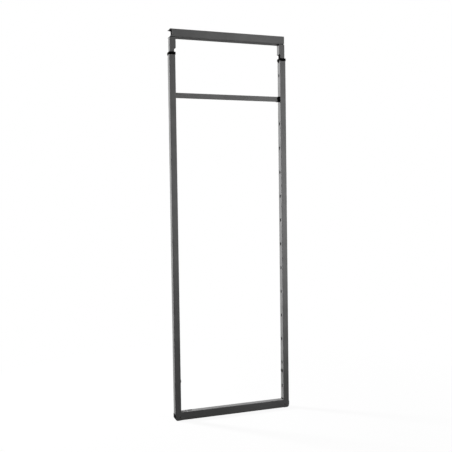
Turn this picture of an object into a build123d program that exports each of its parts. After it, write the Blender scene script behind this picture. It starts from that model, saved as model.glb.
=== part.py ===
from build123d import *
import os

# Pull-out frame for a tall larder cabinet, in millimetres.
# +Z is up, -X is the front of the pull-out, +Y is the side that the top bar opens to.
# The origin is the middle of the underside of the bottom bar, where it sits on its runner.

# Posts: closed-foot steel tubes
frame_length = 496.0
post_height = 1455.0
post_width = 24.5
post_depth = 28.0
post_wall = 1.5
post_corner = 2.0
toe_radius = 10.0

# Hook slots, one row up the inner face of each post
hook_pitch = 100.0
lowest_hook_height = 90.0
hook_top_margin = 60.0
hook_slot_width = 9.0
hook_slot_height = 13.5

# Relief slots at the foot of each post and at the head of each riser
relief_slot_height = 6.0

# Bottom bar
bar_height = 32.5
bar_wall = 2.0
bar_top_corner = 2.0
bar_bottom_corner = 3.0
fixing_slot_length = 17.0
fixing_slot_width = 7.5
fixing_slot_from_post = 39.5
access_slot_length = 20.5
access_slot_width = 11.0
pilot_hole_diameter = 7.0
pilot_hole_from_post = 23.0
fixing_offset = 4.0

# Plug in the outer face of each foot
plug_flange_thickness = 1.0
plug_flange_width = 26.0
plug_flange_height = 16.5
plug_centre_height = 17.5
plug_mouth_margin = 1.75
plug_length = 22.5
plug_fit = 0.15
plug_screw_diameter = 3.0
plug_screw_head_diameter = 6.0
plug_screw_recess = 3.6
plug_screw_length = 11.0
plug_screw_height = 13.5
plug_screw_from_end = 2.5

# Stop screws that carry the lowest basket, one on the inner face of each post
stop_screw_height = 155.0
stop_screw_diameter = 5.0
stop_screw_length = 8.0
stop_head_diameter = 14.0
stop_head_height = 3.3
stop_head_edge = 0.6
stop_socket_across_flats = 3.0
stop_socket_depth = 1.6

# Collars on the tops of the posts
collar_overhang = 1.75
collar_cap = 4.0
collar_skirt = 6.5
collar_corner = 4.0
collar_fit = 0.1
collar_edge = 0.8
collar_tongue_length = 25.0
collar_tongue_width = 16.0
collar_tongue_thickness = 0.9
collar_tab_length = 6.5
collar_tab_top_width = 11.0
collar_tab_bottom_width = 5.0
collar_tab_thickness = 1.2

# Risers: tubes with the inner side cut away where they run in the posts
riser_length = 613.0
riser_width = 24.5
riser_depth = 24.0
riser_wall = 1.5
riser_corner = 2.0
riser_setback = 3.0
riser_cut_depth = 7.0
riser_full_length = 43.0
riser_cut_radius = 5.0
riser_exposed = 59.0
riser_head_gap = 2.0
riser_welded_depth = 4.0

# Height adjustment
travel_up = 400.0
travel_down = 10.5
clamp_from_post_top = 35.0
clamp_screw_diameter = 6.0
clamp_screw_reach = 11.0
clamp_hole_diameter = 6.6
clamp_slot_width = 7.0
clamp_head_diameter = 11.0
clamp_head_height = 3.6
clamp_head_edge = 1.4
clamp_socket_across_flats = 4.0
clamp_socket_depth = 2.4
clamp_washer_diameter = 14.0
clamp_washer_thickness = 1.0
clamp_nut_width = 12.0
clamp_nut_height = 20.0
clamp_nut_thickness = 4.0
shaft_fit = 0.05
sliding_gap = 0.3

# Glide shoes at the lower ends of the risers
shoe_height = 30.0
shoe_tongue_height = 40.0
shoe_groove_width = 12.0
shoe_groove_depth = 8.5
shoe_corner = 1.0
shoe_fit = 0.15
shoe_rivet_diameter = 4.0
shoe_rivet_head_diameter = 8.0
shoe_rivet_head_height = 0.8
shoe_rivet_length = 8.0
shoe_rivet_height = 20.0

# Top bar: a folded channel, open to +Y
top_bar_setback = 5.5
top_bar_height = 31.0
top_bar_depth = 40.0
top_bar_wall = 2.0
top_bar_corner = 3.0
top_notch_length = 7.0
top_notch_radius = 3.0

# Stops in the ends of the top bar
top_stop_length = 20.0
top_stop_depth = 21.0
top_stop_arm_depth = 34.0
top_stop_arm = 2.2
top_stop_radius = 8.0
top_stop_fit = 0.1
top_stop_screw_diameter = 3.5
top_stop_screw_head_diameter = 7.0
top_stop_screw_recess = 4.2
top_stop_screw_length = 12.0
top_stop_screw_from_web = 10.0

# Cross recesses in the flat-headed screws
recess_slot_width = 1.1
recess_depth = 1.2

# Crossbar, hung in the slots next below the highest ones
crossbar_rise = 1.75
crossbar_height = 20.0
crossbar_depth = 10.0
crossbar_wall = 1.2
crossbar_corner = 1.5
crossbar_end_gap = 0.2
crossbar_fit = 0.15
clip_length = 9.5
clip_depth = 27.0
clip_corner = 1.0
insert_length = 24.0
hook_blade_thickness = 3.0
hook_blade_height = 8.5
hook_lip_drop = 4.0
hook_lip_length = 3.0
hook_gap = 0.2
rivet_diameter = 4.0
rivet_head_diameter = 7.5
rivet_head_height = 1.2
rivet_length = 8.0

# Inner corners of the tubes whose walls are nearly as thick as their outer corners
inner_corner = 0.5

# How far cutting shapes run past the faces that they cut
overrun = 1.0

# Places that follow from the sizes above
post_outer_x = frame_length / 2
post_inner_x = post_outer_x - post_width
side_y = post_depth / 2
cavity_outer_x = post_outer_x - post_wall
cavity_inner_x = post_inner_x + post_wall
cavity_y = side_y - post_wall
hook_count = int((post_height - lowest_hook_height - hook_top_margin) / hook_pitch) + 1
clamp_height = post_height - clamp_from_post_top
collar_top_z = post_height + collar_cap
bar_under_z = collar_top_z + riser_exposed
bar_top_z = bar_under_z + top_bar_height
riser_outer_x = post_outer_x - riser_setback
riser_inner_x = riser_outer_x - riser_width
riser_edge_x = riser_inner_x + riser_cut_depth
riser_middle_x = (riser_outer_x + riser_edge_x) / 2
riser_y = riser_depth / 2
riser_foot_z = bar_under_z - riser_length
crossbar_hook_z = lowest_hook_height + (hook_count - 2) * hook_pitch
crossbar_z = crossbar_hook_z + crossbar_rise
crossbar_y = crossbar_depth / 2
top_end_x = post_outer_x - top_bar_setback
top_web_y = -side_y
top_inside_y = top_web_y + top_bar_wall
top_low_z = bar_under_z + top_bar_wall
top_high_z = bar_top_z - top_bar_wall


def block(x, y, z):
    """A box between two corners, given as a pair of limits along each axis."""
    middle = tuple((low + high) / 2 for low, high in (x, y, z))
    return Pos(*middle) * Box(x[1] - x[0], y[1] - y[0], z[1] - z[0])


def rounded_column(x, y, z, corner):
    """A box with its four upright edges rounded."""
    outline = RectangleRounded(x[1] - x[0], y[1] - y[0], corner)
    return Pos((x[0] + x[1]) / 2, (y[0] + y[1]) / 2, z[0]) * extrude(outline, z[1] - z[0])


def rod_x(x, y, z, diameter):
    """A round rod along X between two limits."""
    length = x[1] - x[0]
    return Pos((x[0] + x[1]) / 2, y, z) * Rot(0, 90, 0) * Cylinder(diameter / 2, length)


def rod_y(x, y, z, diameter):
    """A round rod along Y between two limits."""
    length = y[1] - y[0]
    return Pos(x, (y[0] + y[1]) / 2, z) * Rot(90, 0, 0) * Cylinder(diameter / 2, length)


def rod_z(x, y, z, diameter):
    """A round rod along Z between two limits."""
    length = z[1] - z[0]
    return Pos(x, y, (z[0] + z[1]) / 2) * Cylinder(diameter / 2, length)


def slot_along_z(x, z, y_middle, width, height):
    """A cutter for an upright slot through a wall that faces X."""
    straight = height / 2 - width / 2
    middle = block(x, (y_middle - width / 2, y_middle + width / 2), (z - straight, z + straight))
    ends = [rod_x(x, y_middle, z + side * straight, width) for side in (-1, 1)]
    return middle + ends[0] + ends[1]


def to_front(shape):
    """The same piece at the front end of the frame."""
    return mirror(shape, about=Plane.YZ)


def foot_outline(inset):
    """The post seen from the side, with its rounded toe, drawn in by the inset."""
    x = (post_inner_x + inset, post_outer_x - inset)
    z = (inset, post_height + overrun)
    face = Plane.XZ * Pos((x[0] + x[1]) / 2, (z[0] + z[1]) / 2) * Rectangle(x[1] - x[0], z[1] - z[0])
    toe = face.vertices().sort_by(lambda v: v.Z - v.X)[0]
    rounded = fillet(toe, toe_radius - inset)
    return extrude(rounded, side_y + overrun, both=True)


def make_post():
    """The rear post: a tube with a closed, rounded foot, hook slots and its openings."""
    full = (0, post_height)
    outside = rounded_column((post_inner_x, post_outer_x), (-side_y, side_y), full, post_corner)
    past_top = (0, post_height + overrun)
    x = (cavity_inner_x, cavity_outer_x)
    inside = rounded_column(x, (-cavity_y, cavity_y), past_top, inner_corner)
    post = (outside & foot_outline(0)) - (inside & foot_outline(post_wall))
    wall = (post_inner_x - overrun, cavity_inner_x + overrun)
    for number in range(hook_count):
        z = lowest_hook_height + number * hook_pitch
        post -= slot_along_z(wall, z, 0, hook_slot_width, hook_slot_height)
    relief_y = (-side_y + post_corner, side_y - post_corner)
    post -= block(wall, relief_y, (bar_height, bar_height + relief_slot_height))
    mouth = (cavity_outer_x - overrun, post_outer_x + overrun)
    post -= block(mouth, plug_mouth_y(), plug_mouth_z())
    screw_wall = (-side_y - overrun, -cavity_y + overrun)
    post -= rod_y(plug_screw_x(), screw_wall, plug_screw_height, plug_screw_diameter)
    post -= countersink_y(plug_screw_x(), plug_screw_height)
    clamp_wall = (cavity_y - overrun, side_y + overrun)
    post -= rod_y(riser_middle_x, clamp_wall, clamp_height, clamp_hole_diameter)
    post -= rod_x(wall, 0, stop_screw_height, stop_screw_diameter)
    return post


def plug_mouth_y():
    half = plug_flange_width / 2 - plug_mouth_margin
    return (-half, half)


def plug_mouth_z():
    half = plug_flange_height / 2 - plug_mouth_margin
    return (plug_centre_height - half, plug_centre_height + half)


def plug_screw_x():
    return post_outer_x - plug_length + plug_screw_from_end


def countersink_y(x, z):
    """The seat of a flat-headed screw in the wall that faces -Y."""
    wide = plug_screw_head_diameter / 2
    narrow = plug_screw_diameter / 2
    cone = Cone(wide, narrow, wide - narrow, align=(Align.CENTER, Align.CENTER, Align.MIN))
    return Pos(x, -side_y, z) * Rot(-90, 0, 0) * cone


def make_bottom_bar():
    """The tube between the feet of the posts, with its screw slots, one of them open from above."""
    section = bar_outline(0, bar_top_corner) - bar_outline(bar_wall, inner_corner)
    bar = extrude(section, post_inner_x, both=True)
    base = (-overrun, bar_wall + overrun)
    lid = (bar_height - bar_wall - overrun, bar_height + overrun)
    fixing_x = post_inner_x - fixing_slot_from_post
    for x in (-fixing_x, fixing_x):
        bar -= lengthwise_slot(x, base, fixing_slot_length, fixing_slot_width)
    bar -= lengthwise_slot(-fixing_x, lid, access_slot_length, access_slot_width)
    bar -= rod_z(pilot_hole_from_post - post_inner_x, fixing_offset, lid, pilot_hole_diameter)
    return bar


def bar_outline(inset, top_radius):
    """The section of the bottom bar, drawn in by the inset, facing +X."""
    width = post_depth - 2 * inset
    height = bar_height - 2 * inset
    section = Rectangle(width, height)
    low = section.vertices().group_by(Axis.Y)[0]
    section = fillet(low, bar_bottom_corner - inset)
    high = section.vertices().group_by(Axis.Y)[-1]
    section = fillet(high, top_radius)
    return Plane.YZ * Pos(0, bar_height / 2) * section


def lengthwise_slot(x, z, length, width):
    """A cutter for a slot along the bottom bar."""
    straight = length / 2 - width / 2
    half = width / 2
    cutter = block((x - straight, x + straight), (fixing_offset - half, fixing_offset + half), z)
    for side in (-1, 1):
        cutter += rod_z(x + side * straight, fixing_offset, z, width)
    return cutter


def make_base_plug():
    """The push-in plug in the outer face of a foot."""
    z = (plug_centre_height - plug_flange_height / 2, plug_centre_height + plug_flange_height / 2)
    y = (-plug_flange_width / 2, plug_flange_width / 2)
    flange = block((post_outer_x, post_outer_x + plug_flange_thickness), y, z)
    flange = fillet(flange.edges().filter_by(Axis.X), plug_mouth_margin)
    mouth_y = plug_mouth_y()
    mouth_z = plug_mouth_z()
    body = block(
        (post_outer_x - plug_length, post_outer_x),
        (mouth_y[0] + plug_fit, mouth_y[1] - plug_fit),
        (mouth_z[0] + plug_fit, mouth_z[1] - plug_fit),
    )
    plug = flange + body
    deep = (-side_y, -side_y + plug_screw_length + plug_fit)
    return plug - rod_y(plug_screw_x(), deep, plug_screw_height, plug_screw_diameter)


def cross_recess(length):
    """A cutter for a screwdriver's cross, its mouth at the origin and facing +Z."""
    size = (length, recess_slot_width, recess_depth)
    arm = Box(*size, align=(Align.CENTER, Align.CENTER, Align.MAX))
    return arm + Rot(0, 0, 90) * arm


def make_plug_screw():
    """A flat-headed screw that holds the plug, from the -Y side."""
    shank = (-side_y, -side_y + plug_screw_length)
    thread = rod_y(plug_screw_x(), shank, plug_screw_height, plug_screw_diameter)
    screw = thread + countersink_y(plug_screw_x(), plug_screw_height)
    mouth = Pos(plug_screw_x(), -side_y, plug_screw_height) * Rot(90, 0, 0)
    return screw - mouth * cross_recess(plug_screw_recess)


def hex_socket(across_flats, depth):
    """A cutter for a hex key, standing on the origin."""
    return extrude(RegularPolygon(across_flats / 2, 6, major_radius=False), depth)


def make_stop_screw():
    """A round-headed screw, its head on the inner face of the post."""
    head = Cylinder(stop_head_diameter / 2, stop_head_height)
    rim = head.edges().sort_by(Axis.Z)[-1]
    head = fillet(rim, stop_head_edge)
    socket = hex_socket(stop_socket_across_flats, stop_socket_depth)
    head -= Pos(0, 0, stop_head_height / 2 - stop_socket_depth) * socket
    head = Pos(post_inner_x - stop_head_height / 2, 0, stop_screw_height) * Rot(0, -90, 0) * head
    shank = (post_inner_x, post_inner_x + stop_screw_length)
    return head + rod_x(shank, 0, stop_screw_height, stop_screw_diameter)


def make_collar():
    """The moulded collar on the top of the rear post, with its mouth for the riser."""
    skirt_z = post_height - collar_skirt
    x = (post_inner_x - collar_overhang, post_outer_x + collar_overhang)
    y = (-side_y - collar_overhang, side_y + collar_overhang)
    collar = rounded_column(x, y, (skirt_z, collar_top_z), collar_corner)
    rims = collar.edges().group_by(Axis.Z)
    collar = chamfer(rims[-1] + rims[0], collar_edge)
    x = (post_inner_x - collar_fit, post_outer_x + collar_fit)
    y = (-side_y - collar_fit, side_y + collar_fit)
    socket_z = (skirt_z - overrun, post_height)
    collar -= rounded_column(x, y, socket_z, post_corner + collar_fit)
    x = (riser_edge_x - sliding_gap, riser_outer_x + sliding_gap)
    y = (-riser_y - sliding_gap, riser_y + sliding_gap)
    collar -= block(x, y, (post_height - overrun, collar_top_z + overrun))
    near = riser_outer_x + sliding_gap
    half = collar_tongue_width / 2
    tongue_z = (post_height - collar_tongue_length, post_height)
    collar += block((near, near + collar_tongue_thickness), (-half, half), tongue_z)
    return collar + collar_tab()


def collar_tab():
    """The tapered tab that hangs from the collar down the inner face of the post."""
    top = post_height - collar_skirt + collar_edge
    bottom = post_height - collar_skirt - collar_tab_length
    wide = collar_tab_top_width / 2
    narrow = collar_tab_bottom_width / 2
    outline = Polyline((-wide, top), (wide, top), (narrow, bottom), (-narrow, bottom), close=True)
    face = Plane.YZ * make_face(outline)
    near = post_inner_x - collar_fit - collar_tab_thickness
    return Pos(near, 0, 0) * extrude(face, collar_tab_thickness)


def make_riser():
    """The rear riser: a tube, cut away inside below its head, and welded to the bar at its +Y wall."""
    x = (riser_inner_x, riser_outer_x)
    z = (riser_foot_z, bar_under_z)
    outside = rounded_column(x, (-riser_y, riser_y), z, riser_corner)
    x = (riser_inner_x + riser_wall, riser_outer_x - riser_wall)
    y = (-riser_y + riser_wall, riser_y - riser_wall)
    past = (riser_foot_z - overrun, bar_under_z + overrun)
    riser = outside - rounded_column(x, y, past, inner_corner)
    cut_z = (riser_foot_z - overrun, bar_under_z - riser_full_length)
    cut = block((riser_inner_x - overrun, riser_edge_x), (-side_y, side_y), cut_z)
    corner = cut.edges().filter_by(Axis.Y).sort_by(lambda e: -e.center().X - e.center().Z)[0]
    riser -= fillet(corner, riser_cut_radius)
    relief_x = (riser_inner_x - overrun, riser_inner_x + riser_wall + overrun)
    relief_y = (-riser_y + riser_corner, riser_y - riser_corner)
    riser -= block(relief_x, relief_y, (bar_under_z - relief_slot_height, bar_under_z + overrun))
    gap_x = (riser_inner_x - overrun, riser_outer_x + overrun)
    gap_y = (-side_y, riser_y - riser_welded_depth)
    riser -= block(gap_x, gap_y, (bar_under_z - riser_head_gap, bar_under_z + overrun))
    riser -= clamp_slot()
    rivet_wall = (riser_outer_x - riser_wall - overrun, riser_outer_x + overrun)
    return riser - rod_x(rivet_wall, 0, riser_foot_z + shoe_rivet_height, shoe_rivet_diameter)


def clamp_slot():
    """The long slot in the riser's +Y wall that the clamp screw runs in."""
    y = (riser_y - riser_wall - overrun, riser_y + overrun)
    half = clamp_slot_width / 2
    low = clamp_height - travel_up
    high = clamp_height + travel_down
    cutter = block((riser_middle_x - half, riser_middle_x + half), y, (low, high))
    for z in (low, high):
        cutter += rod_y(riser_middle_x, y, z, clamp_slot_width)
    return cutter


def make_glide_shoe():
    """The moulded foot of the riser, which guides it in the post."""
    x = (cavity_inner_x + sliding_gap, cavity_outer_x - sliding_gap)
    y = (-cavity_y + sliding_gap, cavity_y - sliding_gap)
    shoe = rounded_column(x, y, (riser_foot_z - shoe_height, riser_foot_z), shoe_corner)
    half = shoe_groove_width / 2
    past = (riser_foot_z - shoe_height - overrun, riser_foot_z + shoe_tongue_height + overrun)
    groove_x = (x[0] - overrun, x[0] + shoe_groove_depth)
    shoe -= block(groove_x, (-half, half), past)
    tongue_x = (x[0] + shoe_groove_depth, riser_outer_x - riser_wall - shoe_fit)
    tongue_y = (-riser_y + riser_wall + shoe_fit, riser_y - riser_wall - shoe_fit)
    shoe += block(tongue_x, tongue_y, (riser_foot_z, riser_foot_z + shoe_tongue_height))
    rivet_x = (riser_outer_x - shoe_rivet_length, riser_outer_x)
    return shoe - rod_x(rivet_x, 0, riser_foot_z + shoe_rivet_height, shoe_rivet_diameter)


def make_shoe_rivet():
    """The flat-headed rivet that ties the shoe to the riser."""
    z = riser_foot_z + shoe_rivet_height
    shank = rod_x((riser_outer_x - shoe_rivet_length, riser_outer_x), 0, z, shoe_rivet_diameter)
    head_x = (riser_outer_x, riser_outer_x + shoe_rivet_head_height)
    return shank + rod_x(head_x, 0, z, shoe_rivet_head_diameter)


def make_clamp_nut():
    """The plate nut inside the riser, which the clamp screw draws against it."""
    high = riser_y - riser_wall - sliding_gap
    half = clamp_nut_width / 2
    x = (riser_middle_x - half, riser_middle_x + half)
    z = (clamp_height - clamp_nut_height / 2, clamp_height + clamp_nut_height / 2)
    nut = block(x, (high - clamp_nut_thickness, high), z)
    through = (high - clamp_nut_thickness - overrun, high + overrun)
    bore = clamp_screw_diameter + 2 * shaft_fit
    return nut - rod_y(riser_middle_x, through, clamp_height, bore)


def make_clamp_washer():
    """The washer between the clamp screw's head and the post."""
    y = (side_y, side_y + clamp_washer_thickness)
    washer = rod_y(riser_middle_x, y, clamp_height, clamp_washer_diameter)
    past = (side_y - overrun, side_y + clamp_washer_thickness + overrun)
    return washer - rod_y(riser_middle_x, past, clamp_height, clamp_hole_diameter)


def make_clamp_screw():
    """The button-headed clamp screw, its head a running gap off the washer."""
    under = side_y + clamp_washer_thickness + sliding_gap
    head = Cylinder(clamp_head_diameter / 2, clamp_head_height)
    head = fillet(head.edges().sort_by(Axis.Z)[-1], clamp_head_edge)
    socket = hex_socket(clamp_socket_across_flats, clamp_socket_depth)
    head -= Pos(0, 0, clamp_head_height / 2 - clamp_socket_depth) * socket
    head = Pos(riser_middle_x, under + clamp_head_height / 2, clamp_height) * Rot(-90, 0, 0) * head
    reach = (under - clamp_screw_reach, under)
    return head + rod_y(riser_middle_x, reach, clamp_height, clamp_screw_diameter)


def top_outline(inset):
    """The outer section of the top bar, drawn in by the inset, open past its +Y edge."""
    y = (top_web_y + inset, top_web_y + top_bar_depth + inset)
    z = (bar_under_z + inset, bar_top_z - inset)
    face = Pos((y[0] + y[1]) / 2, (z[0] + z[1]) / 2) * Rectangle(y[1] - y[0], z[1] - z[0])
    folds = face.vertices().group_by(Axis.X)[0]
    return Plane.YZ * fillet(folds, top_bar_corner - inset)


def make_top_bar():
    """The folded channel across the head of the frame, its web cut back at the front end."""
    bar = extrude(top_outline(0) - top_outline(top_bar_wall), top_end_x, both=True)
    notch_x = (-top_end_x - overrun, -top_end_x + top_notch_length)
    notch = block(notch_x, (top_web_y - overrun, top_inside_y), (top_low_z, top_high_z))
    corners = notch.edges().filter_by(Axis.Y).group_by(Axis.X)[-1]
    bar -= fillet(corners, top_notch_radius)
    for x in (stop_screw_x(1), -stop_screw_x(-1)):
        bar -= top_countersink(x)
    return bar


def stop_end_x(side):
    """How far out the stop at this end reaches: level with the end of the web."""
    return top_end_x - top_notch_length if side < 0 else top_end_x


def stop_screw_x(side):
    return stop_end_x(side) - top_stop_length / 2


def top_countersink(x):
    """The screw's hole and its countersink in the upper flange."""
    wide = top_stop_screw_head_diameter / 2
    narrow = top_stop_screw_diameter / 2
    cone = Cone(narrow, wide, wide - narrow, align=(Align.CENTER, Align.CENTER, Align.MAX))
    y = top_inside_y + top_stop_screw_from_web
    hole = rod_z(x, y, (top_high_z - overrun, bar_top_z + overrun), top_stop_screw_diameter)
    return hole + Pos(x, y, bar_top_z) * cone


def make_top_stop(side):
    """A moulded stop in an end of the top bar, hollowed at the back for the guide's wheels."""
    high = stop_end_x(side)
    x = (high - top_stop_length, high)
    z = (top_low_z + top_stop_fit, top_high_z - top_stop_fit)
    y = (top_inside_y + top_stop_fit, top_inside_y + top_stop_arm_depth)
    stop = block(x, y, z)
    folds = stop.edges().filter_by(Axis.X).group_by(Axis.Y)[0]
    stop = fillet(folds, top_bar_corner - top_bar_wall)
    past = (high - top_stop_length - overrun, high + overrun)
    pocket_y = (top_inside_y + top_stop_depth, y[1] + overrun)
    pocket = block(past, pocket_y, (z[0] + top_stop_arm, z[1] - top_stop_arm))
    deep = pocket.edges().filter_by(Axis.X).group_by(Axis.Y)[0]
    stop -= fillet(deep, top_stop_radius)
    screw_y = top_inside_y + top_stop_screw_from_web
    hole = (bar_top_z - top_stop_screw_length - top_stop_fit, bar_top_z)
    return stop - rod_z(stop_screw_x(side), screw_y, hole, top_stop_screw_diameter)


def make_top_stop_screw(side):
    """The flat-headed screw that holds a stop, from above."""
    x = stop_screw_x(side)
    y = top_inside_y + top_stop_screw_from_web
    wide = top_stop_screw_head_diameter / 2
    narrow = top_stop_screw_diameter / 2
    head = Cone(narrow, wide, wide - narrow, align=(Align.CENTER, Align.CENTER, Align.MAX))
    thread = rod_z(x, y, (bar_top_z - top_stop_screw_length, bar_top_z), top_stop_screw_diameter)
    screw = thread + Pos(x, y, bar_top_z) * head
    return screw - Pos(x, y, bar_top_z) * Rot(0, 0, 45) * cross_recess(top_stop_screw_recess)


def crossbar_ends():
    """Where the crossbar's tube starts at the front post and ends at the rear clip."""
    return (-post_inner_x + crossbar_end_gap, post_inner_x - crossbar_end_gap - clip_length)


def make_crossbar():
    """The flat tube that ties the two posts near their tops."""
    start, end = crossbar_ends()
    outline = RectangleRounded(crossbar_depth, crossbar_height, crossbar_corner)
    width = crossbar_depth - 2 * crossbar_wall
    height = crossbar_height - 2 * crossbar_wall
    hollow = RectangleRounded(width, height, inner_corner)
    tube = Pos(start, 0, crossbar_z) * extrude(Plane.YZ * (outline - hollow), end - start)
    wall = (crossbar_y - crossbar_wall - overrun, crossbar_y + overrun)
    for x in crossbar_rivet_places():
        tube -= rod_y(x, wall, crossbar_z, rivet_diameter)
    return tube


def crossbar_rivet_places():
    start, end = crossbar_ends()
    return (start + insert_length / 2, end - insert_length / 2)


def crossbar_insert(start, end, rivet_x):
    """The part of an end piece that fills the tube, bored for its rivet."""
    half_y = crossbar_y - crossbar_wall - crossbar_fit
    half_z = crossbar_height / 2 - crossbar_wall - crossbar_fit
    body = block((start, end), (-half_y, half_y), (crossbar_z - half_z, crossbar_z + half_z))
    body = fillet(body.edges().filter_by(Axis.X), inner_corner)
    bore = (crossbar_y - rivet_length, crossbar_y)
    return body - rod_y(rivet_x, bore, crossbar_z, rivet_diameter)


def hook_through_post(width):
    """A blade that passes the rear post's slot and drops behind its wall."""
    seat = crossbar_hook_z - hook_slot_height / 2 + hook_gap
    half = width / 2
    end = cavity_inner_x + hook_gap + hook_lip_length
    x = (post_inner_x - crossbar_end_gap, end)
    clear_height = hook_slot_height - 2 * hook_gap
    opening = slot_along_z(x, crossbar_hook_z, 0, hook_slot_width - 2 * hook_gap, clear_height)
    neck = block(x, (-half, half), (seat, seat + hook_blade_height)) & opening
    lip_z = (seat - hook_lip_drop, seat + hook_blade_height / 2)
    return neck + block((cavity_inner_x + hook_gap, end), (-half, half), lip_z)


def make_front_hook():
    """The hook end of the crossbar, in the front post's slot."""
    start = crossbar_ends()[0]
    body = crossbar_insert(start, start + insert_length, crossbar_rivet_places()[0])
    return body + to_front(hook_through_post(hook_blade_thickness))


def make_rear_clip():
    """The moulded clip end of the crossbar, in the rear post's slot."""
    end = crossbar_ends()[1]
    body = crossbar_insert(end - insert_length, end, crossbar_rivet_places()[1])
    half_y = clip_depth / 2
    half_z = crossbar_height / 2
    block_x = (end, end + clip_length)
    pad = block(block_x, (-half_y, half_y), (crossbar_z - half_z, crossbar_z + half_z))
    pad = fillet(pad.edges().filter_by(Axis.X), clip_corner)
    return body + pad + hook_through_post(hook_slot_width - 2 * hook_gap)


def make_crossbar_rivet(x):
    """A blind rivet in the crossbar's +Y face."""
    shank = rod_y(x, (crossbar_y - rivet_length, crossbar_y), crossbar_z, rivet_diameter)
    head = rod_y(x, (crossbar_y, crossbar_y + rivet_head_height), crossbar_z, rivet_head_diameter)
    rim = head.edges().sort_by(Axis.Y)[-1]
    return shank + fillet(rim, rivet_head_height / 2)


def pair(shape):
    """The piece at the rear end and its twin at the front end."""
    return Compound(children=[shape, to_front(shape)])


def make_parts():
    """Every node of the frame by name."""
    post = make_post()
    riser = make_riser()
    collar = make_collar()
    plug = make_base_plug()
    shoe = make_glide_shoe()
    screw = make_clamp_screw()
    front_screw = to_front(make_top_stop_screw(-1))
    rivets = [make_crossbar_rivet(x) for x in crossbar_rivet_places()]
    return {
        "front_post": to_front(post),
        "rear_post": post,
        "bottom_bar": make_bottom_bar(),
        "front_base_plug": to_front(plug),
        "rear_base_plug": plug,
        "base_plug_screws": pair(make_plug_screw()),
        "basket_stop_screws": pair(make_stop_screw()),
        "front_collar": to_front(collar),
        "rear_collar": collar,
        "crossbar": make_crossbar(),
        "crossbar_front_hook": make_front_hook(),
        "crossbar_rear_clip": make_rear_clip(),
        "crossbar_rivets": Compound(children=rivets),
        "clamp_nuts": pair(make_clamp_nut()),
        "clamp_washers": pair(make_clamp_washer()),
        "top_bar": make_top_bar(),
        "front_riser": to_front(riser),
        "rear_riser": riser,
        "front_top_stop": to_front(make_top_stop(-1)),
        "rear_top_stop": make_top_stop(1),
        "top_stop_screws": Compound(children=[make_top_stop_screw(1), front_screw]),
        "front_glide_shoe": to_front(shoe),
        "rear_glide_shoe": shoe,
        "glide_shoe_rivets": pair(make_shoe_rivet()),
        "front_clamp_screw": to_front(screw),
        "rear_clamp_screw": screw,
    }


os.makedirs("parts", exist_ok=True)
for node, shape in make_parts().items():
    export_step(shape, f"parts/{node}.step")
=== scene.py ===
import math

import bmesh
import bpy
from mathutils import Matrix, Vector


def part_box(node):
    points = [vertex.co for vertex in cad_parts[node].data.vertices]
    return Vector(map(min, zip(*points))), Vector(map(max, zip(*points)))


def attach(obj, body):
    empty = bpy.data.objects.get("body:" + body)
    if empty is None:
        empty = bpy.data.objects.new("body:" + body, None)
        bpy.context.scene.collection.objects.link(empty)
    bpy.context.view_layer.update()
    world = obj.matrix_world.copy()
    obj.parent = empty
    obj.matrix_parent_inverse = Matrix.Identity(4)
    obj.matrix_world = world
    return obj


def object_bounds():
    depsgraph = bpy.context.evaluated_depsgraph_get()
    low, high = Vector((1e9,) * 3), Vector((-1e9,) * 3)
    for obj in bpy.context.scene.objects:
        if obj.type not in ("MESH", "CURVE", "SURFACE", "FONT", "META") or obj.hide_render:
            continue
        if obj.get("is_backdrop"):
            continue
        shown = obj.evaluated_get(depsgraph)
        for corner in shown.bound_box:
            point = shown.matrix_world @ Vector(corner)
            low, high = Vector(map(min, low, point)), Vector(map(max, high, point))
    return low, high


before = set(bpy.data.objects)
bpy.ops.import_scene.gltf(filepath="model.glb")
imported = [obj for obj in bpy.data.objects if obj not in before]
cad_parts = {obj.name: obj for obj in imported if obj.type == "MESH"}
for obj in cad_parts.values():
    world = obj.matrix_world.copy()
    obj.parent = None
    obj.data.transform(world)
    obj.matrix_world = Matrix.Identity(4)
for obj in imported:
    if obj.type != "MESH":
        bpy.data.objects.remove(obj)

bl_info = {
    "name": "Pull-out pantry frame",
    "version": (1, 0, 0),
    "blender": (4, 5, 0),
    "location": "View3D > Sidebar > Pantry Frame",
    "description": "Finishes for a pull-out pantry frame, its weld beads, and the studio that it stands in",
    "category": "Object",
}

IMAGE_PIXELS = 452
SENSOR_MM = 36.0
WHITE = "#ffffff"

# Which nodes of the frame have which finish
POSTS = ("front_post", "rear_post")
RISERS = ("front_riser", "rear_riser")
LOWER_TUBES = (*POSTS, "bottom_bar", "crossbar")
UPPER_STEEL = ("top_bar", *RISERS)
MOULDED = (
    "front_base_plug", "rear_base_plug", "front_collar", "rear_collar", "crossbar_front_hook",
    "crossbar_rear_clip", "front_top_stop", "rear_top_stop", "front_glide_shoe", "rear_glide_shoe",
)
PLATED = (
    "crossbar_rivets", "clamp_nuts", "clamp_washers", "top_stop_screws",
    "glide_shoe_rivets", "front_clamp_screw", "rear_clamp_screw",
)
BLACKENED = ("base_plug_screws", "basket_stop_screws")

# How deep the powder reaches below a tube's outer faces, in millimetres. Deeper than that, it is bare steel,
# painted darker still as shade
TUBE_REACH = 0.65
BAR_REACH = 0.95
BAR_LID_REACH = 0.65
FOOT_REACH = 12.0
SHOULDER_REACH = 0.1
# A riser is open on one side, so it is coated inside for this length from its foot. Its head is bare steel,
# painted darker still as shade at the joint, and so is the patch of the top bar's underside that closes it
RISER_COATED_LENGTH = 572.0
UNDERSIDE_REACH = 0.5

# Cosines of the angle between a face and its rounded edge, where the edge starts and where it is full
EDGE_START = 0.995
EDGE_FULL = 0.80
EDGE_SAMPLES = 6

# The least size of a weld bead at its blunt ends, as a share, and how square those ends are
BEAD_END_SHARE = 0.35
BEAD_END_POWER = 10
STEPS_IN_RIPPLE = 4
BEAD_SEGMENTS = 12

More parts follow.
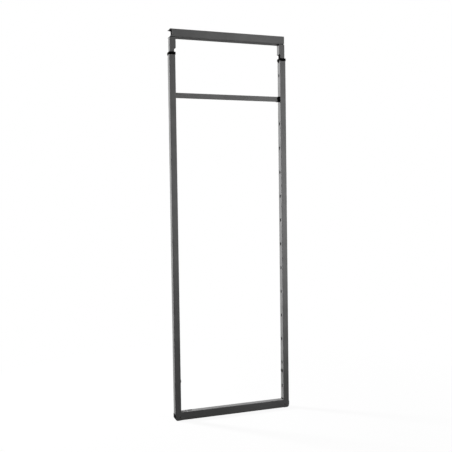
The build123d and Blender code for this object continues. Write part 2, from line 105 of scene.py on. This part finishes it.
FLOOR_SEGMENTS = 64
FLOOR_GAP_MM = 0.5


def millimetres(value):
    """A length in millimetres as metres."""
    return value / 1000.0


def linear(hex_colour):
    """An sRGB hex colour, such as #8a8b8c, as linear red, green, blue and alpha."""
    channels = [int(hex_colour[i:i + 2], 16) / 255 for i in (1, 3, 5)]
    return [c / 12.92 if c <= 0.04045 else ((c + 0.055) / 1.055) ** 2.4 for c in channels] + [1.0]


def per_metre(size_mm):
    """The scale of a noise whose features are this many millimetres across."""
    return 1.0 / millimetres(size_mm)


def add_node(tree, kind, inputs=None, **settings):
    """Adds a shader node, sets its properties, and sets or links its inputs by name or number."""
    node = tree.nodes.new(kind)
    for name, value in settings.items():
        setattr(node, name, value)
    for name, value in (inputs or {}).items():
        if isinstance(value, bpy.types.NodeSocket):
            tree.links.new(value, node.inputs[name])
        else:
            node.inputs[name].default_value = value
    return node


def new_material(name, colour):
    """An empty material with its output, its shader and the object's own coordinates."""
    material = bpy.data.materials.new(name)
    material.use_nodes = True
    material.diffuse_color = colour
    tree = material.node_tree
    tree.nodes.clear()
    place = add_node(tree, "ShaderNodeTexCoord").outputs["Object"]
    shader = add_node(tree, "ShaderNodeBsdfPrincipled")
    add_node(tree, "ShaderNodeOutputMaterial", {"Surface": shader.outputs["BSDF"]})
    return material, tree, place, shader


def seen_directly(tree):
    """1 where the eye, a reflection or glass shows the surroundings, and 0 where they only give light."""
    rays = add_node(tree, "ShaderNodeLightPath").outputs
    inputs = {0: rays["Is Glossy Ray"], 1: rays["Is Transmission Ray"]}
    mirrored = add_node(tree, "ShaderNodeMath", inputs, operation="MAXIMUM").outputs["Value"]
    inputs = {0: rays["Is Camera Ray"], 1: mirrored}
    return add_node(tree, "ShaderNodeMath", inputs, operation="MAXIMUM").outputs["Value"]


def edge_share(tree, radius_mm):
    """How near the surface is to a sharp edge, from 0 on the flat to 1."""
    flat = add_node(tree, "ShaderNodeNewGeometry").outputs["Normal"]
    inputs = {"Radius": millimetres(radius_mm)}
    turned = add_node(tree, "ShaderNodeBevel", inputs, samples=EDGE_SAMPLES).outputs["Normal"]
    inputs = {0: flat, 1: turned}
    alike = add_node(tree, "ShaderNodeVectorMath", inputs, operation="DOT_PRODUCT").outputs["Value"]
    inputs = {"Value": alike, "From Min": EDGE_START, "From Max": EDGE_FULL}
    return add_node(tree, "ShaderNodeMapRange", inputs).outputs["Result"]


def patches(tree, pattern, start, full, ground, patch, most=1.0):
    """A ground colour that turns to another, at most by a share, as a pattern goes from start to full."""
    inputs = {"Value": pattern, "From Min": start, "From Max": full, "To Max": most}
    share = add_node(tree, "ShaderNodeMapRange", inputs).outputs["Result"]
    inputs = {0: share, 6: ground, 7: patch}
    return add_node(tree, "ShaderNodeMix", inputs, data_type="RGBA").outputs[2]


def inside_share(tree, place, low, high):
    """1 for the places between two corners, and 0 outside them."""
    middle = [(a + b) / 2 for a, b in zip(low, high)]
    half = [(b - a) / 2 for a, b in zip(low, high)]
    moved = add_node(tree, "ShaderNodeVectorMath", {0: place, 1: middle}, operation="SUBTRACT").outputs[0]
    sizes = add_node(tree, "ShaderNodeVectorMath", {0: moved}, operation="ABSOLUTE").outputs[0]
    room = add_node(tree, "ShaderNodeVectorMath", {0: half, 1: sizes}, operation="SUBTRACT").outputs[0]
    parts = add_node(tree, "ShaderNodeSeparateXYZ", {"Vector": room}).outputs
    least = add_node(tree, "ShaderNodeMath", {0: parts["X"], 1: parts["Y"]}, operation="MINIMUM").outputs[0]
    least = add_node(tree, "ShaderNodeMath", {0: least, 1: parts["Z"]}, operation="MINIMUM").outputs[0]
    return add_node(tree, "ShaderNodeMath", {0: least, 1: 0.0}, operation="GREATER_THAN").outputs[0]


def tube_inside(name, low_depths, high_depths):
    """The space inside a tube: its outer box less a depth in millimetres at each side."""
    low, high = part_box(name)
    return (Vector(low) + Vector(low_depths) / 1000, Vector(high) - Vector(high_depths) / 1000)


def powder_coat(settings, name, bare_shaded_insides):
    """Powder-coated steel: polyester powder, sprayed and stoved on tube.

    The eye sees an even satin grey with fine metallic grains, the slow ripple of the melted powder and faint
    smudges from hands. A thin dark line of painted shade runs along cut and punched edges and round the
    slots, where the powder is also thin. Inside the tubes the steel is bare, painted darker still as shade."""
    body = linear(settings.coat_colour)
    material, tree, place, shader = new_material(name, body)
    # The metallic grains are drawn 0.9 mm across, coarser than the real ones, so that they show
    inputs = {"Vector": place, "Scale": per_metre(0.9), "Detail": 1.0}
    grain = add_node(tree, "ShaderNodeTexNoise", inputs).outputs["Fac"]
    # The stoved coat clouds over 90 mm, and hands smudge it in patches of 26 mm
    inputs = {"Vector": place, "Scale": per_metre(90.0), "Detail": 3.0, "Roughness": 0.6}
    cloud = add_node(tree, "ShaderNodeTexNoise", inputs).outputs["Fac"]
    inputs = {"Vector": place, "Scale": per_metre(26.0), "Detail": 4.0, "Roughness": 0.7}
    smudge = add_node(tree, "ShaderNodeTexNoise", inputs).outputs["Fac"]
    colour = patches(tree, cloud, 0.35, 0.65, linear(settings.coat_dark), linear(settings.coat_light))
    colour = patches(tree, grain, 0.62, 0.74, colour, linear(settings.coat_grain), 0.5)
    # Painted shade: a dark line along cut and punched edges and round the slots, where the coat is also
    # thin. Smudges break it up
    inputs = {"Value": smudge, "From Min": 0.42, "From Max": 0.62, "To Min": 0.6}
    broken = add_node(tree, "ShaderNodeMapRange", inputs).outputs["Result"]
    inputs = {0: edge_share(tree, 0.8), 1: broken}
    share = add_node(tree, "ShaderNodeMath", inputs, operation="MULTIPLY").outputs["Value"]
    inputs = {0: share, 6: colour, 7: linear(settings.thin_coat_edge_shade)}
    colour = add_node(tree, "ShaderNodeMix", inputs, data_type="RGBA").outputs[2]
    # Painted shade: the hollows of the tubes, the riser heads and the underside patch over them turn to dark
    # bare steel
    for low, high in bare_shaded_insides:
        inputs = {0: inside_share(tree, place, low, high), 6: colour, 7: linear(settings.bare_steel_painted_shade)}
        colour = add_node(tree, "ShaderNodeMix", inputs, data_type="RGBA").outputs[2]
    tree.links.new(colour, shader.inputs["Base Color"])
    inputs = {"Value": smudge, "From Min": 0.3, "From Max": 0.7, "To Min": 0.5, "To Max": 0.64}
    roughness = add_node(tree, "ShaderNodeMapRange", inputs).outputs["Result"]
    tree.links.new(roughness, shader.inputs["Roughness"])
    shader.inputs["Metallic"].default_value = 0.0
    shader.inputs["IOR"].default_value = 1.5
    # The white studio's reflection would veil the grey, so the satin mirrors very little of it
    shader.inputs["Specular IOR Level"].default_value = 0.02
    # The ripple of the melt is 2.5 mm across
    inputs = {"Vector": place, "Scale": per_metre(2.5), "Detail": 1.0}
    ripple = add_node(tree, "ShaderNodeTexNoise", inputs).outputs["Fac"]
    inputs = {"Height": grain, "Strength": 0.10, "Distance": millimetres(0.05)}
    fine = add_node(tree, "ShaderNodeBump", inputs).outputs["Normal"]
    inputs = {"Height": ripple, "Strength": 0.16, "Distance": millimetres(0.25), "Normal": fine}
    tree.links.new(add_node(tree, "ShaderNodeBump", inputs).outputs["Normal"], shader.inputs["Normal"])
    return material


def moulded_polyamide(settings):
    """Black polyamide, injection moulded in a spark-eroded mould.

    The eye sees a near-black with a fine even grain, dull on the faces and a little polished and greyer
    along the edges, which is wear from hands and tubes and also a painted sheen."""
    body = linear(settings.polyamide_colour)
    material, tree, place, shader = new_material("moulded_black_polyamide", body)
    # The melt leaves flow marks 12 mm across
    inputs = {"Vector": place, "Scale": per_metre(12.0), "Detail": 3.0, "Roughness": 0.6}
    cloud = add_node(tree, "ShaderNodeTexNoise", inputs).outputs["Fac"]
    colour = patches(tree, cloud, 0.35, 0.65, body, linear(settings.polyamide_light))
    # Wear and painted sheen: the edges turn paler grey
    rub_and_sheen = edge_share(tree, 0.6)
    colour = patches(tree, rub_and_sheen, 0.0, 1.0, colour, linear(settings.polyamide_wear_and_sheen), 0.35)
    tree.links.new(colour, shader.inputs["Base Color"])
    inputs = {"Value": rub_and_sheen, "To Min": 0.55, "To Max": 0.38}
    roughness = add_node(tree, "ShaderNodeMapRange", inputs).outputs["Result"]
    tree.links.new(roughness, shader.inputs["Roughness"])
    shader.inputs["IOR"].default_value = 1.53
    # For the same reason as the coat, it mirrors very little
    shader.inputs["Specular IOR Level"].default_value = 0.005
    # The eroded grain is drawn 0.5 mm across, coarser than the real 0.1 mm, so that it shows
    inputs = {"Vector": place, "Scale": per_metre(0.5), "Detail": 2.0}
    grain = add_node(tree, "ShaderNodeTexNoise", inputs).outputs["Fac"]
    inputs = {"Height": grain, "Strength": 0.25, "Distance": millimetres(0.06)}
    tree.links.new(add_node(tree, "ShaderNodeBump", inputs).outputs["Normal"], shader.inputs["Normal"])
    return material


def zinc_plate(settings):
    """Bright zinc plate on turned and pressed steel.

    The eye sees a pale bluish metal with soft blotches from the bath, duller in places, and the fine
    marks of turning."""
    body = linear(settings.zinc_colour)
    material, tree, place, shader = new_material("zinc_plated_steel", body)
    inputs = {"Vector": place, "Scale": per_metre(4.0), "Detail": 3.0, "Roughness": 0.6}
    bath = add_node(tree, "ShaderNodeTexNoise", inputs).outputs["Fac"]
    colour = patches(tree, bath, 0.38, 0.62, body, linear(settings.zinc_tint))
    tree.links.new(colour, shader.inputs["Base Color"])
    shader.inputs["Metallic"].default_value = 1.0
    inputs = {"Value": bath, "From Min": 0.3, "From Max": 0.7, "To Min": 0.24, "To Max": 0.42}
    roughness = add_node(tree, "ShaderNodeMapRange", inputs).outputs["Result"]
    tree.links.new(roughness, shader.inputs["Roughness"])
    # The marks of turning are drawn 0.3 mm across so that they show
    inputs = {"Vector": place, "Scale": per_metre(0.3), "Detail": 1.0}
    marks = add_node(tree, "ShaderNodeTexNoise", inputs).outputs["Fac"]
    inputs = {"Height": marks, "Strength": 0.18, "Distance": millimetres(0.03)}
    tree.links.new(add_node(tree, "ShaderNodeBump", inputs).outputs["Normal"], shader.inputs["Normal"])
    return material


def black_oxide(settings):
    """Screws blackened in a hot oxide bath and oiled.

    The eye sees a dark brownish-black metal with a soft oily gloss, worn to steel on its edges."""
    body = linear(settings.oxide_colour)
    material, tree, place, shader = new_material("black_oxide_steel", body)
    inputs = {"Vector": place, "Scale": per_metre(3.0), "Detail": 3.0, "Roughness": 0.6}
    blotch = add_node(tree, "ShaderNodeTexNoise", inputs).outputs["Fac"]
    colour = patches(tree, blotch, 0.38, 0.62, body, linear(settings.oxide_light))
    colour = patches(tree, edge_share(tree, 0.3), 0.0, 1.0, colour, linear(settings.oxide_edge), 0.5)
    tree.links.new(colour, shader.inputs["Base Color"])
    shader.inputs["Metallic"].default_value = 0.85
    inputs = {"Value": blotch, "From Min": 0.3, "From Max": 0.7, "To Min": 0.34, "To Max": 0.5}
    roughness = add_node(tree, "ShaderNodeMapRange", inputs).outputs["Result"]
    tree.links.new(roughness, shader.inputs["Roughness"])
    # The crystals of the oxide are drawn 0.35 mm across so that they show
    inputs = {"Vector": place, "Scale": per_metre(0.35), "Detail": 1.0}
    grit = add_node(tree, "ShaderNodeTexNoise", inputs).outputs["Fac"]
    inputs = {"Height": grit, "Strength": 0.15, "Distance": millimetres(0.03)}
    tree.links.new(add_node(tree, "ShaderNodeBump", inputs).outputs["Normal"], shader.inputs["Normal"])
    return material


def white_paper(settings):
    """The studio's white sweep: the camera sees clean white, with the frame's soft shadow kept on it."""
    body = linear(settings.paper_colour)
    material, tree, place, shader = new_material("white_paper_sweep", body)
    inputs = {"Vector": place, "Scale": per_metre(600.0), "Detail": 2.0}
    cloud = add_node(tree, "ShaderNodeTexNoise", inputs).outputs["Fac"]
    tone = patches(tree, cloud, 0.3, 0.7, body, linear(settings.paper_shade))
    # The frame gets only a little light back from the paper, as over a sweep that falls away below it
    rays = add_node(tree, "ShaderNodeLightPath").outputs
    inputs = {0: rays["Is Diffuse Ray"], 6: tone, 7: linear(settings.paper_bounce)}
    bounced = add_node(tree, "ShaderNodeMix", inputs, data_type="RGBA").outputs[2]
    tree.links.new(bounced, shader.inputs["Base Color"])
    shader.inputs["Roughness"].default_value = 0.9
    shader.inputs["Specular IOR Level"].default_value = 0.0
    inputs = {"Color": linear(WHITE), "Strength": 1.0}
    white = add_node(tree, "ShaderNodeEmission", inputs).outputs["Emission"]
    # The paper burns out to clean white with its distance from the frame
    away = add_node(tree, "ShaderNodeVectorMath", {0: place}, operation="LENGTH").outputs["Value"]
    inputs = {
        "Value": away, "From Min": settings.shadow_radius, "From Max": settings.clear_radius,
        "To Min": settings.sweep_light,
    }
    clean = add_node(tree, "ShaderNodeMapRange", inputs).outputs["Result"]
    inputs = {0: seen_directly(tree), 1: clean}
    share = add_node(tree, "ShaderNodeMath", inputs, operation="MULTIPLY").outputs["Value"]
    mixed = add_node(tree, "ShaderNodeMixShader", {0: share, 1: shader.outputs["BSDF"], 2: white})
    output = next(node for node in tree.nodes if node.type == "OUTPUT_MATERIAL")
    tree.links.new(mixed.outputs["Shader"], output.inputs["Surface"])
    return material


def finish_nodes(names, material):
    """Gives CAD nodes their finish, without touching their meshes."""
    for name in names:
        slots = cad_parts[name].data.materials
        slots.clear()
        slots.append(material)


def make_object(name, mesh, material):
    """Wraps a finished bmesh as an object at the origin."""
    data = bpy.data.meshes.new(name)
    mesh.to_mesh(data)
    mesh.free()
    data.materials.append(material)
    piece = bpy.data.objects.new(name, data)
    bpy.context.scene.collection.objects.link(piece)
    return piece


def add_bead(mesh, start, end, outward, settings):
    """A weld bead along a joint: oval rings that swell and narrow with its ripples, closed at both ends."""
    start, end, outward = Vector(start), Vector(end), Vector(outward).normalized()
    along = (end - start).normalized()
    across = along.cross(outward)
    length = (end - start).length
    steps = STEPS_IN_RIPPLE * max(2, round(length / settings.ripple_pitch))
    last_ring = []
    for step in range(steps + 1):
        share = step / steps
        rounding = max(BEAD_END_SHARE, (1 - (2 * share - 1) ** BEAD_END_POWER) ** 0.5)
        swell = 1 + settings.ripple_depth * math.cos(2 * math.pi * step / STEPS_IN_RIPPLE)
        at_end = step in (0, steps)
        # The ring starts 1 across, and the matrix gives it the bead's width and thickness
        circle = bmesh.ops.create_circle(mesh, cap_ends=at_end, segments=BEAD_SEGMENTS, radius=0.5)
        ring = circle["verts"]
        edges = list({edge for vert in ring for edge in vert.link_edges})
        sides = (across * settings.bead_width, outward * settings.bead_thickness, along)
        oval = (Matrix(sides).transposed() * rounding * swell).to_4x4()
        oval = Matrix.Translation(start + along * length * share) @ oval
        bmesh.ops.transform(mesh, matrix=oval, verts=ring)
        if last_ring:
            bmesh.ops.bridge_loops(mesh, edges=last_ring + edges)
        last_ring = edges


def finish_beads(name, mesh, material, body):
    """Turns a mesh of beads into a piece that rides with the steel it joins."""
    bmesh.ops.recalc_face_normals(mesh, faces=mesh.faces)
    for face in mesh.faces:
        face.smooth = True
    piece = make_object(name, mesh, material)
    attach(piece, body)


class PantryFinishSettings(bpy.types.PropertyGroup):
    coat_colour: bpy.props.StringProperty(
        name="Coat", description="Powder coat on the steel", default="#888888")
    coat_light: bpy.props.StringProperty(
        name="Coat, paler", description="Paler cloud in the coat", default="#8d8d8d")
    coat_dark: bpy.props.StringProperty(
        name="Coat, darker", description="Darker cloud in the coat", default="#838383")
    coat_grain: bpy.props.StringProperty(
        name="Coat grain", description="Metallic grain in the coat", default="#a4a4a4")
    # Painted shade along edges and slot rims, where the coat is also thin
    thin_coat_edge_shade: bpy.props.StringProperty(
        name="Coat edge", description="Steel showing through along an edge", default="#343433")
    # Bare steel, painted darker still as shade in the tubes and riser heads
    bare_steel_painted_shade: bpy.props.StringProperty(
        name="Bare steel", description="Inside of the tubes", default="#232322")
    polyamide_colour: bpy.props.StringProperty(
        name="Polyamide", description="Moulded black", default="#0e0e0f")
    polyamide_light: bpy.props.StringProperty(
        name="Polyamide, paler", description="Paler cloud", default="#131314")
    # Edges worn paler, and also a painted sheen
    polyamide_wear_and_sheen: bpy.props.StringProperty(
        name="Polyamide edge", description="Rubbed edge", default="#242425")
    zinc_colour: bpy.props.StringProperty(
        name="Zinc", description="Bright zinc plate", default="#c3c7ca")
    zinc_tint: bpy.props.StringProperty(
        name="Zinc tint", description="Blotches in the plate", default="#aab2b8")
    oxide_colour: bpy.props.StringProperty(
        name="Black oxide", description="Blackened screws", default="#2c2a29")
    oxide_light: bpy.props.StringProperty(
        name="Black oxide, paler", description="Paler blotches", default="#3a3837")
    oxide_edge: bpy.props.StringProperty(
        name="Black oxide edge", description="Worn edge", default="#6f6d6b")


class PantryWeldSettings(bpy.types.PropertyGroup):
    bead_width: bpy.props.FloatProperty(
        name="Bead width", description="Width of a weld bead", default=0.0046, unit="LENGTH")
    bead_thickness: bpy.props.FloatProperty(
        name="Bead thickness", description="Thickness of a weld bead", default=0.0022, unit="LENGTH")
    bead_rise: bpy.props.FloatProperty(
        name="Bead rise", description="How far a dressed bead stands out of a flush joint",
        default=0.0002, unit="LENGTH")
    ripple_pitch: bpy.props.FloatProperty(
        name="Ripple pitch", description="Distance between the ripples of a bead",
        default=0.0015, unit="LENGTH")
    ripple_depth: bpy.props.FloatProperty(
        name="Ripple depth", description="How far a bead narrows between its ripples",
        default=0.09, subtype="FACTOR")
    groove: bpy.props.FloatProperty(
        name="Groove", description="How far past the bottom bar's ends its joints' beads lie",
        default=0.001, unit="LENGTH")
    end_gap: bpy.props.FloatProperty(
        name="End gap", description="Length without a bead at each end of a joint",
        default=0.0032, unit="LENGTH")


class PantryStageSettings(bpy.types.PropertyGroup):
    camera_place: bpy.props.FloatVectorProperty(
        name="Camera", description="Where the camera stands", default=(-0.93546, -2.58393, 0.88199),
        subtype="TRANSLATION", unit="LENGTH")
    camera_turn: bpy.props.FloatProperty(
        name="Turn", description="Camera's turn towards the rear of the frame",
        default=math.radians(19.5346), subtype="ANGLE")
    camera_dip: bpy.props.FloatProperty(
        name="Dip", description="Camera's tilt down", default=math.radians(2.3064), subtype="ANGLE")
    camera_roll: bpy.props.FloatProperty(
        name="Roll", description="Camera's roll", default=math.radians(-0.8053), subtype="ANGLE")
    focal_pixels: bpy.props.FloatProperty(
        name="Focal length", description="Focal length in pixels of the square image", default=674.32)
    paper_colour: bpy.props.StringProperty(
        name="Paper", description="White sweep", default="#f4f4f4")
    paper_shade: bpy.props.StringProperty(
        name="Paper shade", description="Faint clouds in it", default="#f1f1f1")
    paper_bounce: bpy.props.StringProperty(
        name="Paper bounce", description="Paper as the frame's underside sees it", default="#2f2f2f")
    sweep_light: bpy.props.FloatProperty(
        name="Sweep light", description="Share of the paper beside the frame that is seen as clean white",
        default=0.93, subtype="FACTOR")
    shadow_radius: bpy.props.FloatProperty(
        name="Shadow radius", description="Distance from the frame within which the paper keeps its shadow",
        default=0.42, unit="LENGTH")
    clear_radius: bpy.props.FloatProperty(
        name="Clear radius", description="Distance from the frame at which the paper is clean white",
        default=1.4, unit="LENGTH")
    sweep_radius: bpy.props.FloatProperty(
        name="Sweep radius", description="Radius of the floor", default=9.0, unit="LENGTH")
    sky_strength: bpy.props.FloatProperty(
        name="Sky", description="Light from all round", default=0.01)
    key_power: bpy.props.FloatProperty(
        name="Key", description="Soft box behind the frame, to its left", default=170.0, unit="POWER")
    key_place: bpy.props.FloatVectorProperty(
        name="Key place", description="Where it hangs", default=(-2.2, 2.0, 1.8), subtype="TRANSLATION")
    key_size: bpy.props.FloatProperty(
        name="Key size", description="Its side", default=0.5, unit="LENGTH")
    back_power: bpy.props.FloatProperty(
        name="Back", description="Soft box high behind the frame", default=8.0, unit="POWER")
    back_place: bpy.props.FloatVectorProperty(
        name="Back place", description="Where it hangs", default=(-0.3, 1.6, 2.2), subtype="TRANSLATION")
    back_size: bpy.props.FloatProperty(
        name="Back size", description="Its side", default=0.9, unit="LENGTH")
    side_power: bpy.props.FloatProperty(
        name="Side", description="Soft box to the right of the frame", default=16.0, unit="POWER")
    side_place: bpy.props.FloatVectorProperty(
        name="Side place", description="Where it hangs", default=(2.2, 0.6, 1.3), subtype="TRANSLATION")
    side_size: bpy.props.FloatProperty(
        name="Side size", description="Its side", default=0.9, unit="LENGTH")
    low_fill_power: bpy.props.FloatProperty(
        name="Low fill", description="Weak soft box before the rear post", default=2.6, unit="POWER")
    low_fill_place: bpy.props.FloatVectorProperty(
        name="Low fill place", description="Where it hangs", default=(0.37, -0.8, 0.97),
        subtype="TRANSLATION")
    high_fill_power: bpy.props.FloatProperty(
        name="High fill", description="Weak soft box above it", default=3.45, unit="POWER")
    high_fill_place: bpy.props.FloatVectorProperty(
        name="High fill place", description="Where it hangs", default=(0.22, -1.0, 1.87),
        subtype="TRANSLATION")
    foot_fill_power: bpy.props.FloatProperty(
        name="Foot fill", description="Weak soft box below it", default=0.9, unit="POWER")
    foot_fill_place: bpy.props.FloatVectorProperty(
        name="Foot fill place", description="Where it hangs", default=(0.37, -0.7, 0.5),
        subtype="TRANSLATION")
    fill_size: bpy.props.FloatProperty(
        name="Fill size", description="Side of the three fills", default=0.4, unit="LENGTH")


class PANTRY_OT_finish_steel(bpy.types.Operator):
    """Powder coats the tubes, bars and top channel"""
    bl_idname = "pantry.finish_steel"
    bl_label = "Coat the Steel"

    def execute(self, context):
        settings = context.scene.pantry_finish
        low, high = (TUBE_REACH, TUBE_REACH, FOOT_REACH), (TUBE_REACH, TUBE_REACH, SHOULDER_REACH)
        bare_shaded_insides = [tube_inside(name, low, high) for name in POSTS]
        low, high = (0.0, BAR_REACH, BAR_REACH), (0.0, BAR_REACH, BAR_LID_REACH)
        bare_shaded_insides.append(tube_inside("bottom_bar", low, high))
        finish_nodes(LOWER_TUBES, powder_coat(settings, "powder_coated_steel_base", bare_shaded_insides))
        low, high = (TUBE_REACH, TUBE_REACH, RISER_COATED_LENGTH), (TUBE_REACH, TUBE_REACH, -UNDERSIDE_REACH)
        bare_shaded_insides = [tube_inside(name, low, high) for name in RISERS]
        finish_nodes(UPPER_STEEL, powder_coat(settings, "powder_coated_steel_top", bare_shaded_insides))
        return {"FINISHED"}


class PANTRY_OT_weld_joints(bpy.types.Operator):
    """Welds the posts to the bottom bar, and the risers to the top bar"""
    bl_idname = "pantry.weld_joints"
    bl_label = "Weld the Joints"

    def execute(self, context):
        settings = context.scene.pantry_weld
        gap = settings.end_gap
        low, high = (Vector(corner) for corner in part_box("bottom_bar"))
        sunk = settings.bead_thickness / 2 - settings.bead_rise
        mesh = bmesh.new()
        for x in (low.x - settings.groove, high.x + settings.groove):
            for y, facing in ((low.y + sunk, -1), (high.y - sunk, 1)):
                add_bead(mesh, (x, y, gap), (x, y, high.z - gap), (0, facing, 0), settings)
        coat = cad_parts["bottom_bar"].data.materials[0]
        finish_beads("bar_weld_beads", mesh, coat, "lower_frame")
        mesh = bmesh.new()
        for name in RISERS:
            low, high = (Vector(corner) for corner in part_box(name))
            start, end = (low.x + gap, high.y, high.z), (high.x - gap, high.y, high.z)
            add_bead(mesh, start, end, (0, 1, -1), settings)
        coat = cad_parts["top_bar"].data.materials[0]
        finish_beads("riser_weld_beads", mesh, coat, "upper_section")
        return {"FINISHED"}


class PANTRY_OT_finish_mouldings(bpy.types.Operator):
    """Gives the collars, plugs, stops, shoes and clips their moulded black finish"""
    bl_idname = "pantry.finish_mouldings"
    bl_label = "Finish the Mouldings"

    def execute(self, context):
        finish_nodes(MOULDED, moulded_polyamide(context.scene.pantry_finish))
        return {"FINISHED"}


class PANTRY_OT_finish_fasteners(bpy.types.Operator):
    """Plates or blackens the screws, washers, nuts and rivets"""
    bl_idname = "pantry.finish_fasteners"
    bl_label = "Finish the Fasteners"

    def execute(self, context):
        settings = context.scene.pantry_finish
        finish_nodes(PLATED, zinc_plate(settings))
        finish_nodes(BLACKENED, black_oxide(settings))
        return {"FINISHED"}


class PANTRY_OT_build_stage(bpy.types.Operator):
    """Sets the white sweep, the lamps and the camera"""
    bl_idname = "pantry.build_stage"
    bl_label = "Build the Studio"

    def execute(self, context):
        settings = context.scene.pantry_stage
        scene = context.scene
        low, high = (Vector(corner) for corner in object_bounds())
        sheet = bmesh.new()
        bmesh.ops.create_circle(sheet, cap_ends=True, segments=FLOOR_SEGMENTS, radius=settings.sweep_radius)
        bmesh.ops.translate(sheet, verts=sheet.verts, vec=(0, 0, low.z - millimetres(FLOOR_GAP_MM)))
        floor = make_object("studio_floor", sheet, white_paper(settings))
        floor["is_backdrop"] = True
        middle = (low + high) / 2
        lamps = (
            ("key_lamp", settings.key_power, settings.key_place, settings.key_size),
            ("back_lamp", settings.back_power, settings.back_place, settings.back_size),
            ("side_lamp", settings.side_power, settings.side_place, settings.side_size),
            ("low_fill_lamp", settings.low_fill_power, settings.low_fill_place, settings.fill_size),
            ("high_fill_lamp", settings.high_fill_power, settings.high_fill_place, settings.fill_size),
            ("foot_fill_lamp", settings.foot_fill_power, settings.foot_fill_place, settings.fill_size),
        )
        for name, power, place, size in lamps:
            add_lamp(name, power, Vector(place), middle, size)
        add_world(scene, settings.sky_strength)
        add_camera(scene, settings)
        scene.view_settings.view_transform = "Standard"
        return {"FINISHED"}


def add_lamp(name, power, place, target, size):
    """A square soft box that faces the frame's middle. It is in neither the picture nor its reflections."""
    data = bpy.data.lights.new(name, "AREA")
    data.energy = power
    data.shape = "SQUARE"
    data.size = size
    lamp = bpy.data.objects.new(name, data)
    lamp.visible_camera = False
    lamp.visible_glossy = False
    facing = (target - place).to_track_quat("-Z", "Y").to_matrix().to_4x4()
    lamp.matrix_world = Matrix.Translation(place) @ facing
    bpy.context.scene.collection.objects.link(lamp)


def add_world(scene, strength):
    """An even white sky, seen by the camera as clean white."""
    world = bpy.data.worlds.new("white_studio")
    world.use_nodes = True
    tree = world.node_tree
    tree.nodes.clear()
    inputs = {"Value": seen_directly(tree), "To Min": strength}
    level = add_node(tree, "ShaderNodeMapRange", inputs).outputs["Result"]
    sky = add_node(tree, "ShaderNodeBackground", {"Color": linear(WHITE), "Strength": level})
    add_node(tree, "ShaderNodeOutputWorld", {"Surface": sky.outputs["Background"]})
    scene.world = world


def add_camera(scene, settings):
    """The camera at the photograph's place, turn, dip and roll."""
    data = bpy.data.cameras.new("camera")
    data.sensor_width = SENSOR_MM
    data.lens = settings.focal_pixels * data.sensor_width / IMAGE_PIXELS
    data.clip_end = 50.0
    camera = bpy.data.objects.new("camera", data)
    turn = Matrix.Rotation(-settings.camera_turn, 4, "Z")
    dip = Matrix.Rotation(math.pi / 2 - settings.camera_dip, 4, "X")
    roll = Matrix.Rotation(settings.camera_roll, 4, "Z")
    camera.matrix_world = Matrix.Translation(settings.camera_place) @ turn @ dip @ roll
    scene.collection.objects.link(camera)
    scene.camera = camera


class PANTRY_PT_sidebar(bpy.types.Panel):
    """Lists the steps that build the frame's looks, and their settings"""
    bl_idname = "PANTRY_PT_sidebar"
    bl_label = "Pull-out Pantry Frame"
    bl_space_type = "VIEW_3D"
    bl_region_type = "UI"
    bl_category = "Pantry Frame"

    def draw(self, context):
        scene = context.scene
        for operator in OPERATORS:
            self.layout.operator(operator.bl_idname)
        for settings in (scene.pantry_finish, scene.pantry_weld, scene.pantry_stage):
            box = self.layout.box()
            for name in settings.bl_rna.properties.keys():
                if name not in ("rna_type", "name"):
                    box.prop(settings, name)


OPERATORS = (
    PANTRY_OT_finish_steel,
    PANTRY_OT_weld_joints,
    PANTRY_OT_finish_mouldings,
    PANTRY_OT_finish_fasteners,
    PANTRY_OT_build_stage,
)
SETTINGS = {
    "pantry_finish": PantryFinishSettings,
    "pantry_weld": PantryWeldSettings,
    "pantry_stage": PantryStageSettings,
}


def register():
    for kind in (*SETTINGS.values(), *OPERATORS, PANTRY_PT_sidebar):
        bpy.utils.register_class(kind)
    for name, kind in SETTINGS.items():
        setattr(bpy.types.Scene, name, bpy.props.PointerProperty(type=kind))


def unregister():
    for name in SETTINGS:
        delattr(bpy.types.Scene, name)
    for kind in (PANTRY_PT_sidebar, *reversed(OPERATORS), *SETTINGS.values()):
        bpy.utils.unregister_class(kind)


def main():
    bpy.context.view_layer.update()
    register()
    for operator in OPERATORS:
        group, name = operator.bl_idname.split(".")
        getattr(getattr(bpy.ops, group), name)()


if __name__ == "__main__":
    main()
